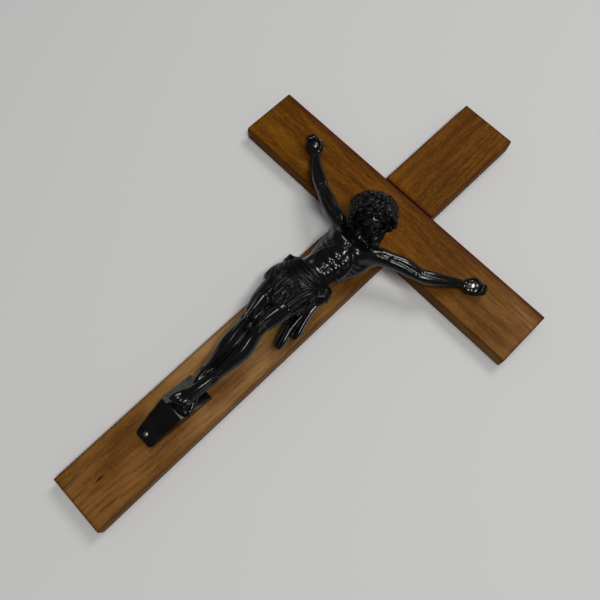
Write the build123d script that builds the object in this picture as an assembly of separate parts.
from build123d import *
import math
import os

os.makedirs("parts", exist_ok=True)

# Wall crucifix in millimetres: X to the viewer's right, Z up, the back lies on Y = 0 and the front faces -Y.
# The origin is the centre of the crossing on the back face.

# Oak boards of the cross
beam_width = 60.0
beam_thickness = 16.0
upright_length = 530.0
upright_above = 150.0
arm_length = 337.0
arm_offset = 1.6
arm_edge_radius = 3.0
upright_edge_radius = 1.2
end_edge_radius = 0.8
lap_clearance = 0.05

# Blind hole in the back that the cross hangs by
hang_hole_radius = 4.0
hang_hole_depth = 10.0
hang_hole_below_top = 32.0

# Screws from behind through the halved joint
screw_shank_radius = 1.75
screw_head_radius = 3.6
screw_length = 12.5
screw_spread = 15.0
screw_slot_width = 0.9
screw_slot_depth = 1.0
screw_clearance = 0.05

# Nails of the hands and of the foot rest
nail_shank_radius = 1.1
nail_head_radius = 2.6
nail_rim_height = 0.5
nail_dome_height = 1.1
nail_bite = 11.0
nail_point_length = 2.5
nail_clearance = 0.05

# Cast figure: every size follows the head from chin to crown, every place hangs from the breastbone notch
head_height = 33.0
notch_below_crossing = 47.0
figure_offset = 1.5
wood_clearance = 0.05

# Joints of the castings
spigot_radius = 3.4
spigot_length = 6.0
spigot_clearance = 0.08
peg_radius = 2.0
peg_clearance = 0.08

# Foot rest: a hollow roof-shaped casting open towards the wood
rest_wall = 2.6

# Head: how far it bows forward and leans towards the figure's right shoulder, in degrees
head_bow = 58.0
head_lean = 36.0

# Trunk: where its muscles swell, from the middle line, and how far they and that line spread, in degrees
muscle_angle = 36.0
muscle_spread = 20.0
middle_spread = 11.0

# Places below are shares of the head: to the side, off the wood, up from the notch; then half widths.
# The trunk also has how far its muscles swell on both sides of the middle line and how deep that line lies
trunk_shares = [
    (-0.24, 0.61, -2.52, 0.60, 0.45, 0, 0),
    (-0.235, 0.59, -2.15, 0.75, 0.51, 0, 0),
    (-0.185, 0.56, -1.76, 0.65, 0.47, 0, 0),
    (-0.11, 0.53, -1.36, 0.555, 0.40, 0.02, 0.02),
    (-0.035, 0.56, -0.94, 0.625, 0.43, 0.06, 0.04),
    (-0.005, 0.575, -0.72, 0.665, 0.475, 0.02, 0.01),
    (0.025, 0.59, -0.50, 0.70, 0.48, 0.075, 0.03),
    (0.025, 0.59, -0.21, 0.71, 0.455, 0.05, 0.02),
    (0.01, 0.58, 0.02, 0.57, 0.36, 0, 0),
    (-0.015, 0.62, 0.18, 0.32, 0.29, 0, 0),
]
lock_shares = [
    (0.32, 1.16, 0.86, 0.10, 0.10),
    (0.40, 1.12, 0.66, 0.13, 0.13),
    (0.45, 1.02, 0.40, 0.12, 0.12),
    (0.47, 0.92, 0.18, 0.09, 0.09),
    (0.48, 0.87, 0.07, 0.04, 0.04),
]
neck_shares = [
    (-0.01, 0.60, 0.02, 0.27, 0.27),
    (-0.04, 0.82, 0.24, 0.24, 0.25),
    (-0.06, 1.06, 0.46, 0.24, 0.26),
]
left_arm_shares = [
    (0.40, 0.57, -0.18, 0.33, 0.33),
    (0.58, 0.585, -0.03, 0.28, 0.29),
    (0.78, 0.59, 0.11, 0.245, 0.245),
    (0.92, 0.58, 0.19, 0.225, 0.225),
    (1.05, 0.565, 0.265, 0.20, 0.20),
    (1.36, 0.52, 0.42, 0.19, 0.19),
    (1.63, 0.47, 0.53, 0.175, 0.18),
    (1.91, 0.41, 0.625, 0.148, 0.15),
    (2.14, 0.36, 0.765, 0.165, 0.16),
    (2.44, 0.29, 0.98, 0.145, 0.135),
    (2.74, 0.215, 1.225, 0.113, 0.10),
    (2.88, 0.175, 1.335, 0.105, 0.09),
    (3.06, 0.145, 1.43, 0.19, 0.105),
    (3.22, 0.14, 1.51, 0.175, 0.105),
    (3.30, 0.14, 1.55, 0.12, 0.07),
]
right_arm_shares = [
    (0.40, 0.57, -0.20, 0.33, 0.33),
    (0.58, 0.585, -0.06, 0.28, 0.29),
    (0.79, 0.59, 0.08, 0.245, 0.245),
    (0.94, 0.58, 0.145, 0.225, 0.225),
    (1.09, 0.565, 0.20, 0.20, 0.20),
    (1.43, 0.52, 0.34, 0.19, 0.19),
    (1.69, 0.47, 0.46, 0.175, 0.18),
    (1.95, 0.41, 0.58, 0.148, 0.15),
    (2.17, 0.36, 0.735, 0.165, 0.16),
    (2.46, 0.29, 0.96, 0.145, 0.135),
    (2.77, 0.215, 1.195, 0.113, 0.10),
    (2.90, 0.175, 1.31, 0.105, 0.09),
    (3.06, 0.145, 1.43, 0.19, 0.105),
    (3.22, 0.14, 1.51, 0.175, 0.105),
    (3.30, 0.14, 1.55, 0.12, 0.07),
]
finger_base_shares = [(3.165, 1.62), (3.205, 1.555), (3.24, 1.485), (3.265, 1.41)]
finger_shares = [
    (0.0, 0.14, 0.0, 0.055, 0.055),
    (0.115, 0.155, 0.062, 0.053, 0.053),
    (0.175, 0.215, 0.093, 0.050, 0.050),
    (0.155, 0.29, 0.08, 0.046, 0.046),
    (0.115, 0.32, 0.06, 0.026, 0.026),
]
thumb_shares = [
    (2.97, 0.16, 1.48, 0.06, 0.06),
    (3.02, 0.20, 1.58, 0.066, 0.066),
    (3.10, 0.255, 1.625, 0.058, 0.058),
    (3.18, 0.29, 1.63, 0.044, 0.044),
    (3.205, 0.295, 1.625, 0.022, 0.022),
]
right_leg_shares = [
    (-0.53, 0.60, -2.15, 0.37, 0.41),
    (-0.565, 0.77, -2.64, 0.325, 0.37),
    (-0.465, 0.92, -3.12, 0.27, 0.32),
    (-0.355, 1.03, -3.545, 0.208, 0.245),
    (-0.31, 1.06, -3.79, 0.198, 0.222),
    (-0.29, 0.97, -4.06, 0.195, 0.21),
    (-0.245, 0.86, -4.515, 0.205, 0.225),
    (-0.215, 0.74, -4.94, 0.155, 0.18),
    (-0.185, 0.63, -5.33, 0.12, 0.14),
    (-0.16, 0.53, -5.60, 0.13, 0.15),
    (-0.115, 0.43, -5.85, 0.145, 0.17),
    (0.0, 0.405, -6.12, 0.165, 0.145),
    (0.10, 0.45, -6.36, 0.185, 0.115),
    (0.155, 0.515, -6.60, 0.165, 0.075),
    (0.17, 0.54, -6.68, 0.10, 0.04),
]
left_leg_shares = [
    (0.11, 0.60, -2.15, 0.34, 0.41),
    (0.095, 0.79, -2.64, 0.30, 0.37),
    (0.085, 0.97, -3.12, 0.255, 0.325),
    (0.07, 1.09, -3.515, 0.204, 0.248),
    (0.07, 1.12, -3.70, 0.196, 0.225),
    (0.09, 1.03, -4.0, 0.195, 0.21),
    (0.14, 0.91, -4.455, 0.197, 0.225),
    (0.13, 0.79, -4.91, 0.15, 0.176),
    (0.10, 0.70, -5.33, 0.12, 0.136),
    (0.085, 0.645, -5.58, 0.125, 0.14),
    (0.04, 0.595, -5.85, 0.15, 0.155),
    (-0.05, 0.595, -6.10, 0.17, 0.13),
    (-0.13, 0.625, -6.27, 0.185, 0.105),
    (-0.205, 0.665, -6.48, 0.16, 0.068),
    (-0.225, 0.675, -6.56, 0.10, 0.035),
]
kneecap_shares = [
    (0.10, 0.19, 0.05, 0.05),
    (0.165, 0.07, 0.10, 0.10),
    (0.16, -0.07, 0.10, 0.10),
    (0.09, -0.19, 0.05, 0.05),
]
loincloth_shares = [
    (-0.125, 0.545, -1.53, 0.615, 0.455),
    (-0.155, 0.555, -1.62, 0.70, 0.53),
    (-0.18, 0.56, -1.76, 0.725, 0.535),
    (-0.215, 0.58, -2.03, 0.785, 0.56),
    (-0.235, 0.61, -2.33, 0.815, 0.595),
    (-0.245, 0.66, -2.60, 0.765, 0.61),
    (-0.245, 0.675, -2.68, 0.71, 0.58),
]
front_fold_shares = [
    (-0.235, 1.10, -2.20, 0.20, 0.11),
    (-0.245, 1.20, -2.48, 0.24, 0.12),
    (-0.26, 1.17, -2.80, 0.20, 0.11),
    (-0.275, 1.10, -3.12, 0.12, 0.09),
    (-0.28, 1.06, -3.22, 0.05, 0.05),
]
hip_knot_shares = [
    (-0.80, 0.62, -1.86, 0.06, 0.07),
    (-0.83, 0.63, -1.82, 0.13, 0.14),
    (-0.85, 0.64, -1.73, 0.14, 0.15),
    (-0.84, 0.63, -1.64, 0.07, 0.08),
]
bunch_shares = [
    (0.50, 0.72, -2.10, 0.12, 0.12),
    (0.545, 0.74, -2.00, 0.20, 0.19),
    (0.555, 0.74, -1.80, 0.205, 0.19),
    (0.53, 0.72, -1.66, 0.15, 0.15),
    (0.51, 0.70, -1.60, 0.07, 0.07),
]
long_lobe_shares = [
    (0.50, 0.66, -1.95, 0.13, 0.14),
    (0.51, 0.54, -2.32, 0.17, 0.16),
    (0.53, 0.42, -2.76, 0.19, 0.15),
    (0.545, 0.33, -3.20, 0.19, 0.13),
    (0.555, 0.28, -3.56, 0.15, 0.10),
    (0.56, 0.26, -3.74, 0.10, 0.06),
]
short_lobe_shares = [
    (0.57, 0.64, -1.95, 0.10, 0.12),
    (0.63, 0.54, -2.28, 0.13, 0.14),
    (0.69, 0.42, -2.62, 0.15, 0.14),
    (0.745, 0.32, -2.94, 0.14, 0.12),
    (0.775, 0.27, -3.10, 0.09, 0.07),
]

# Folds of the cloth: how many go round, how deep as a share of the head, how far each row turns them
loincloth_fold_count = 9
loincloth_fold_share = 0.022
loincloth_fold_turn = 0.3
lobe_fold_count = 5
lobe_fold_share = 0.02

# Head parts are shares of the head in its own frame: up from its middle, back from its middle, half widths
skull_shares = [
    (-0.49, -0.17, 0.10, 0.10),
    (-0.42, -0.13, 0.17, 0.19),
    (-0.24, -0.04, 0.27, 0.34),
    (0.0, 0.0, 0.325, 0.42),
    (0.14, 0.02, 0.325, 0.42),
    (0.30, 0.05, 0.27, 0.34),
    (0.40, 0.06, 0.15, 0.18),
]
hair_shares = [
    (-0.54, 0.22, 0.30, 0.17),
    (-0.40, 0.18, 0.45, 0.29),
    (-0.12, 0.11, 0.55, 0.42),
    (0.10, 0.07, 0.58, 0.46),
    (0.24, 0.04, 0.56, 0.49),
    (0.38, 0.03, 0.47, 0.44),
    (0.49, 0.03, 0.34, 0.33),
    (0.56, 0.03, 0.18, 0.17),
    (0.58, 0.03, 0.07, 0.06),
]
beard_shares = [
    (-0.70, -0.22, 0.07, 0.06),
    (-0.64, -0.21, 0.15, 0.12),
    (-0.48, -0.18, 0.22, 0.21),
    (-0.30, -0.12, 0.26, 0.27),
    (-0.20, -0.08, 0.22, 0.24),
]
nose_shares = [
    (0.10, -0.40, 0.035, 0.05),
    (-0.02, -0.43, 0.045, 0.06),
    (-0.12, -0.45, 0.065, 0.075),
    (-0.16, -0.43, 0.045, 0.04),
]
head_centre_share = (-0.05, 1.30, 0.62)

# Foot rest places, shares of the head: up from the notch and off the wood, then half widths across
rest_top_share = -5.79
rest_ridge_share = -6.73
rest_tongue_share = -7.82
rest_edge_rise_share = 0.09
rest_ridge_rise_share = 0.485
rest_top_half_share = 0.43
rest_ridge_half_share = 0.38
rest_tongue_half_share = 0.29
rest_top_land_share = 0.18
rest_tongue_land_share = 0.40
rest_corner_share = 0.10
rest_offset_share = -0.085
rest_nail_share = (-0.14, -7.645)
rest_nail_seat_share = 0.125
peg_share = (0.03, -6.20)
peg_end_rise_share = 0.15
peg_root_rise_share = 0.36

# Nail of the hand, shares of the head: to the side, up from the notch, seat off the wood
hand_nail_share = (3.11, 1.475)
hand_nail_seat_share = 0.225

# Numbers that follow from the sizes above
front_face = -beam_thickness
lap_face = front_face / 2
upright_centre = upright_above - upright_length / 2
notch_z = -notch_below_crossing
oval_points = 14
points_per_fold = 5
muscle_points = 24
knee_row = 4
rows_between = 3
outline_start = math.radians(-120)
joint_row = 2
sides = (("right", right_arm_shares, -1), ("left", left_arm_shares, 1))


def spot(side, rise, up):
    """Point of the figure from shares of the head."""
    across = figure_offset + side * head_height
    out = front_face - rise * head_height
    return Vector(across, out, notch_z + up * head_height)


def muscle(turn, swell, groove):
    """How far the trunk stands out at an angle: a swelling on each side and a groove in front."""
    from_front = abs(math.remainder(math.degrees(turn) + 90, 360))
    raised = swell * math.exp(-(((from_front - muscle_angle) / muscle_spread) ** 2))
    return raised - groove * math.exp(-((from_front / middle_spread) ** 2))


def oval(centre, along, side, half_side, half_front, relief, folds, phase):
    """Closed smooth outline across a limb, with muscles, or with folds around it where it is cloth."""
    across = (side - along * side.dot(along)).normalized()
    count, depth = folds
    points = []
    steps = muscle_points if relief else max(oval_points, points_per_fold * count)
    for step in range(steps):
        turn = outline_start + 2 * math.pi * step / steps
        swell = depth * head_height * math.cos(count * turn + phase)
        if relief:
            swell = head_height * muscle(turn, *relief)
        points.append(Vector((half_side + swell) * math.cos(turn), (half_front + swell) * math.sin(turn)))
    outline = make_face(Spline(*points, periodic=True))
    return Plane(origin=centre, x_dir=across, z_dir=along) * outline


def limb(places, halves, side, level=False, reliefs=None, folds=(0, 0), fold_turn=0):
    """Loft through ovals that follow the line of a limb, or that stay level."""
    sections = []
    last = len(places) - 1
    for index, place in enumerate(places):
        before = places[max(index - 1, 0)]
        after = places[min(index + 1, last)]
        if index == 0 or index == last:
            along = (after - before).normalized()
        else:
            along = ((after - place).normalized() + (place - before).normalized()).normalized()
        if level:
            along = Vector(0, 0, math.copysign(1, along.Z))
        half_side, half_front = halves[index]
        relief = reliefs[index] if reliefs else None
        sections.append(oval(place, along, side, half_side, half_front, relief, folds, index * fold_turn))
    return loft(sections)


def eased(rows, per_row):
    """More rows between the given ones, along curves that never swing past them."""
    steps = [math.dist(rows[i + 1][:3], rows[i][:3]) for i in range(len(rows) - 1)]
    columns = []
    for column in zip(*rows):
        rates = [(column[i + 1] - column[i]) / steps[i] for i in range(len(steps))]
        slopes = [rates[0]]
        for i in range(1, len(steps)):
            before, after = rates[i - 1], rates[i]
            near, far = steps[i - 1] + 2 * steps[i], 2 * steps[i - 1] + steps[i]
            turning = before * after <= 0
            slopes.append(0 if turning else (near + far) / (near / before + far / after))
        slopes.append(rates[-1])
        values = []
        for i, step in enumerate(steps):
            for part in range(per_row):
                s = part / per_row
                start = column[i] * (1 + 2 * s) * (1 - s) ** 2 + step * slopes[i] * s * (1 - s) ** 2
                end = column[i + 1] * s**2 * (3 - 2 * s) - step * slopes[i + 1] * s**2 * (1 - s)
                values.append(start + end)
        values.append(column[-1])
        columns.append(values)
    return list(zip(*columns))


def figure_limb(shares, side, level=False, sign=1, folds=(0, 0), fold_turn=0):
    """Limb from rows of shares of the head."""
    rows = eased(shares, rows_between)
    places = [spot(sign * row[0], row[1], row[2]) for row in rows]
    halves = [(row[3] * head_height, row[4] * head_height) for row in rows]
    reliefs = [row[5:] for row in rows]
    return limb(places, halves, side, level, reliefs, folds, fold_turn)


def shoulder_plane(shares, sign):
    """Plane across the arm where its casting meets the shoulder."""
    row = shares[joint_row]
    outer_row = shares[joint_row + 1]
    place = spot(sign * row[0], row[1], row[2])
    outer = spot(sign * outer_row[0], outer_row[1], outer_row[2])
    return Plane(origin=place, z_dir=(outer - place).normalized())


def head_limb(shares):
    """Part of the head in the head's own frame."""
    rows = eased([(0, row[1], row[0], row[2], row[3]) for row in shares], rows_between)
    places = [Vector(0, row[1] * head_height, row[2] * head_height) for row in rows]
    halves = [(row[3] * head_height, row[4] * head_height) for row in rows]
    return limb(places, halves, Vector(1, 0, 0), level=True)


def rod(start, end, radius):
    """Round bar between two points."""
    run = end - start
    return extrude(Plane(origin=start, z_dir=run.normalized()) * Circle(radius), run.length)


def nail_at(across, up, seat):
    """Domed nail driven along +Y with its head on the seat plane, and the hole it needs."""
    tip = front_face + nail_bite
    shank_end = tip - nail_point_length
    crown = seat - nail_rim_height - nail_dome_height
    rim = seat - nail_rim_height
    ball = (nail_head_radius**2 + nail_dome_height**2) / (2 * nail_dome_height)
    half_turn = math.asin(nail_head_radius / ball) / 2
    half_way = (ball * math.sin(half_turn), crown + ball - ball * math.cos(half_turn))
    dome = ThreePointArc((nail_head_radius, rim), half_way, (0, crown))
    sides = Polyline(
        (0, crown),
        (0, tip),
        (nail_shank_radius, shank_end),
        (nail_shank_radius, seat),
        (nail_head_radius, seat),
        (nail_head_radius, rim),
    )
    turned = revolve(make_face([dome, sides]), Axis.Y)
    place = Location((across, 0, up))
    hole_radius = nail_shank_radius + nail_clearance
    sunk_radius = nail_head_radius + nail_clearance
    hole = rod(Vector(across, seat - nail_bite, up), Vector(across, tip, up), hole_radius)
    sink = rod(Vector(across, seat - nail_bite, up), Vector(across, seat, up), sunk_radius)
    return place * turned, hole + sink


# Upright board: rounded long edges, a recess across the front for the other board
upright_box = Pos(0, lap_face, upright_centre) * Box(beam_width, beam_thickness, upright_length)
front_edges = upright_box.edges().filter_by(Axis.Z).group_by(Axis.Y)[0]
upright_beam = fillet(front_edges, upright_edge_radius)
end_edges = upright_beam.faces().filter_by(Axis.Z).edges()
upright_beam = fillet(end_edges, end_edge_radius)
recess_width = beam_width + 2 * lap_clearance
recess = Pos(0, front_face, 0) * Box(2 * beam_width, beam_thickness, recess_width)
upright_beam = upright_beam - recess

# Cross board: its front runs through, its back is let into the upright
cross_box = Pos(arm_offset, lap_face, 0) * Box(arm_length, beam_thickness, beam_width)
front_edges = cross_box.edges().filter_by(Axis.X).group_by(Axis.Y)[0]
cross_beam = fillet(front_edges, arm_edge_radius)
end_edges = cross_beam.faces().filter_by(Axis.X).edges()
cross_beam = fillet(end_edges, end_edge_radius)
cross_recess = Box(recess_width, beam_thickness, 2 * beam_width)
cross_beam = cross_beam - cross_recess

# Hanging hole in the back
hang_z = upright_above - hang_hole_below_top
hang_hole = rod(Vector(0, 0, hang_z), Vector(0, -hang_hole_depth, hang_z), hang_hole_radius)
upright_beam = upright_beam - hang_hole

# Countersunk screws through the halved joint, heads flush with the back
cone_end = screw_shank_radius - screw_head_radius
screw_sides = Polyline(
    (0, 0),
    (screw_head_radius, 0),
    (screw_shank_radius, cone_end),
    (screw_shank_radius, -screw_length + screw_shank_radius),
    (0, -screw_length),
    (0, 0),
)
screw = revolve(make_face(screw_sides), Axis.Y)
slot = Box(2 * screw_head_radius, 2 * screw_slot_depth, screw_slot_width)
screw = screw - slot
wide = screw_clearance
hole_sides = Polyline(
    (0, 0),
    (screw_head_radius, 0),
    (screw_shank_radius + wide, cone_end + wide),
    (screw_shank_radius + wide, -screw_length - wide),
    (0, -screw_length - wide),
    (0, 0),
)
screw_hole = revolve(make_face(hole_sides), Axis.Y)
screws = []
for turn in (1, -1):
    place = Pos(turn * screw_spread, 0, -turn * screw_spread)
    screws.append(place * screw)
    upright_beam = upright_beam - place * screw_hole
    cross_beam = cross_beam - place * screw_hole
lap_screws = Compound(children=screws)

# Foot rest: side profile across the wood, cut to the tapered plan, hollow underneath
rest_x = figure_offset + rest_offset_share * head_height
rest_top = notch_z + rest_top_share * head_height
rest_ridge = notch_z + rest_ridge_share * head_height
rest_tongue = notch_z + rest_tongue_share * head_height
rest_edge = front_face - rest_edge_rise_share * head_height
rest_crest = front_face - rest_ridge_rise_share * head_height
top_half = rest_top_half_share * head_height
ridge_half = rest_ridge_half_share * head_height
tongue_half = rest_tongue_half_share * head_height
corner = rest_corner_share * head_height


def roof(profile, trim):
    """Side profile carried across and cut to a plan narrower by the trim on each side."""
    across = Plane(origin=(rest_x, 0, 0), x_dir=(0, 1, 0), z_dir=(1, 0, 0))
    bar = extrude(across * make_face(Polyline(*profile, close=True)), top_half, both=True)
    plan_points = [
        (rest_x - top_half + trim, rest_top),
        (rest_x + top_half - trim, rest_top),
        (rest_x + ridge_half - trim, rest_ridge),
        (rest_x + tongue_half - trim, rest_tongue),
        (rest_x - tongue_half + trim, rest_tongue),
        (rest_x - ridge_half + trim, rest_ridge),
    ]
    plan = make_face(Polyline(*plan_points, close=True))
    if trim == 0:
        plan = fillet(plan.vertices().group_by(Axis.Y)[0], corner)
    slab = extrude(Plane.XZ * plan, 2 * (beam_thickness - rest_crest))
    return bar & slab


roof_profile = [
    (front_face, rest_top),
    (rest_edge, rest_top),
    (rest_crest, rest_ridge),
    (rest_edge, rest_tongue),
    (front_face, rest_tongue),
]
hollow_profile = [
    (front_face, rest_top - rest_top_land_share * head_height),
    (rest_crest + rest_wall, rest_ridge),
    (front_face, rest_tongue + rest_tongue_land_share * head_height),
]
rest_blank = roof(roof_profile, 0)
foot_rest = rest_blank - roof(hollow_profile, rest_wall)

# Head: skull, hair, beard and nose in their own frame, then bowed and leaned into place
head = head_limb(skull_shares) + head_limb(hair_shares)
head = head + head_limb(beard_shares)
head = head + head_limb(nose_shares)
head_place = Location(spot(*head_centre_share))
head_turn = Location((0, 0, 0), (0, -head_lean, 0)) * Location((0, 0, 0), (head_bow, 0, 0))
head = head_place * head_turn * head

# Body of the figure: trunk, neck, legs, feet and loincloth in one casting
to_side = Vector(1, 0, 0)
upward = Vector(0, 0, 1)
corpus_body = figure_limb(trunk_shares, to_side, level=True)
cloth_folds = (loincloth_fold_count, loincloth_fold_share)
loincloth = figure_limb(loincloth_shares, to_side, level=True, folds=cloth_folds, fold_turn=loincloth_fold_turn)
corpus_body = corpus_body + loincloth
corpus_body = corpus_body + figure_limb(neck_shares, to_side)
arms = {}
for side_name, shares, sign in sides:
    whole_arm = figure_limb(shares, upward, sign=sign)
    joint = shoulder_plane(shares, sign)
    arms[side_name] = split(whole_arm, joint, keep=Keep.TOP)
    corpus_body = corpus_body + split(whole_arm, joint, keep=Keep.BOTTOM)
for shares in (right_leg_shares, left_leg_shares):
    knee = shares[knee_row]
    rows = [(knee[0], knee[1] + rise, knee[2] + up, *halves) for rise, up, *halves in kneecap_shares]
    leg = figure_limb(shares, to_side) + figure_limb(rows, to_side)
    corpus_body = corpus_body + leg
for shares in (front_fold_shares, hip_knot_shares, bunch_shares, lock_shares):
    corpus_body = corpus_body + figure_limb(shares, to_side)
lobe_folds = (lobe_fold_count, lobe_fold_share)
for shares in (long_lobe_shares, short_lobe_shares):
    corpus_body = corpus_body + figure_limb(shares, to_side, folds=lobe_folds)
corpus_body = corpus_body + head

# The soles are dressed to the foot rest, the back to the wood
wood_side = front_face - wood_clearance
behind = Pos(0, wood_side + upright_length / 2, 0) * Box(upright_length, upright_length, 2 * upright_length)
corpus_body = corpus_body - rest_blank - behind

# Peg under the sole and its hole in the foot rest
peg_foot = spot(peg_share[0], peg_end_rise_share, peg_share[1])
peg_root = spot(peg_share[0], peg_root_rise_share, peg_share[1])
corpus_body = corpus_body + rod(peg_foot, peg_root, peg_radius)
foot_rest = foot_rest - rod(peg_foot + Vector(0, peg_radius, 0), peg_root, peg_radius + peg_clearance)

# Arms: cast apart, a spigot goes into a socket in the shoulder stub
hand_nails = {}
for side_name, shares, sign in sides:
    arm = arms[side_name]
    for base in finger_base_shares:
        rows = [(base[0] + row[0], row[1], base[1] + row[2], row[3], row[4]) for row in finger_shares]
        arm = arm + figure_limb(rows, upward, sign=sign)
    arm = arm + figure_limb(thumb_shares, upward, sign=sign)
    joint = shoulder_plane(shares, sign)
    inner = joint.origin - joint.z_dir * spigot_length
    arm = arm + rod(inner, joint.origin + joint.z_dir * spigot_length, spigot_radius)
    socket_end = inner - joint.z_dir * spigot_clearance
    corpus_body = corpus_body - rod(socket_end, joint.origin, spigot_radius + spigot_clearance)
    nail_place = spot(sign * hand_nail_share[0], hand_nail_seat_share, hand_nail_share[1])
    nail, nail_hole = nail_at(nail_place.X, nail_place.Z, nail_place.Y)
    hand_nails[side_name] = nail
    arms[side_name] = arm - nail_hole - behind
    cross_beam = cross_beam - nail_hole

# Nail of the foot rest
rest_nail_place = spot(rest_nail_share[0], rest_nail_seat_share, rest_nail_share[1])
foot_rest_nail, rest_nail_hole = nail_at(rest_nail_place.X, rest_nail_place.Z, rest_nail_place.Y)
foot_rest = foot_rest - rest_nail_hole
upright_beam = upright_beam - rest_nail_hole

# One file for each piece
export_step(upright_beam, "parts/upright_beam.step")
export_step(cross_beam, "parts/cross_beam.step")
export_step(lap_screws, "parts/lap_screws.step")
export_step(corpus_body, "parts/corpus_body.step")
export_step(arms["right"], "parts/corpus_right_arm.step")
export_step(arms["left"], "parts/corpus_left_arm.step")
export_step(foot_rest, "parts/foot_rest.step")
export_step(hand_nails["right"], "parts/right_hand_nail.step")
export_step(hand_nails["left"], "parts/left_hand_nail.step")
export_step(foot_rest_nail, "parts/foot_rest_nail.step")
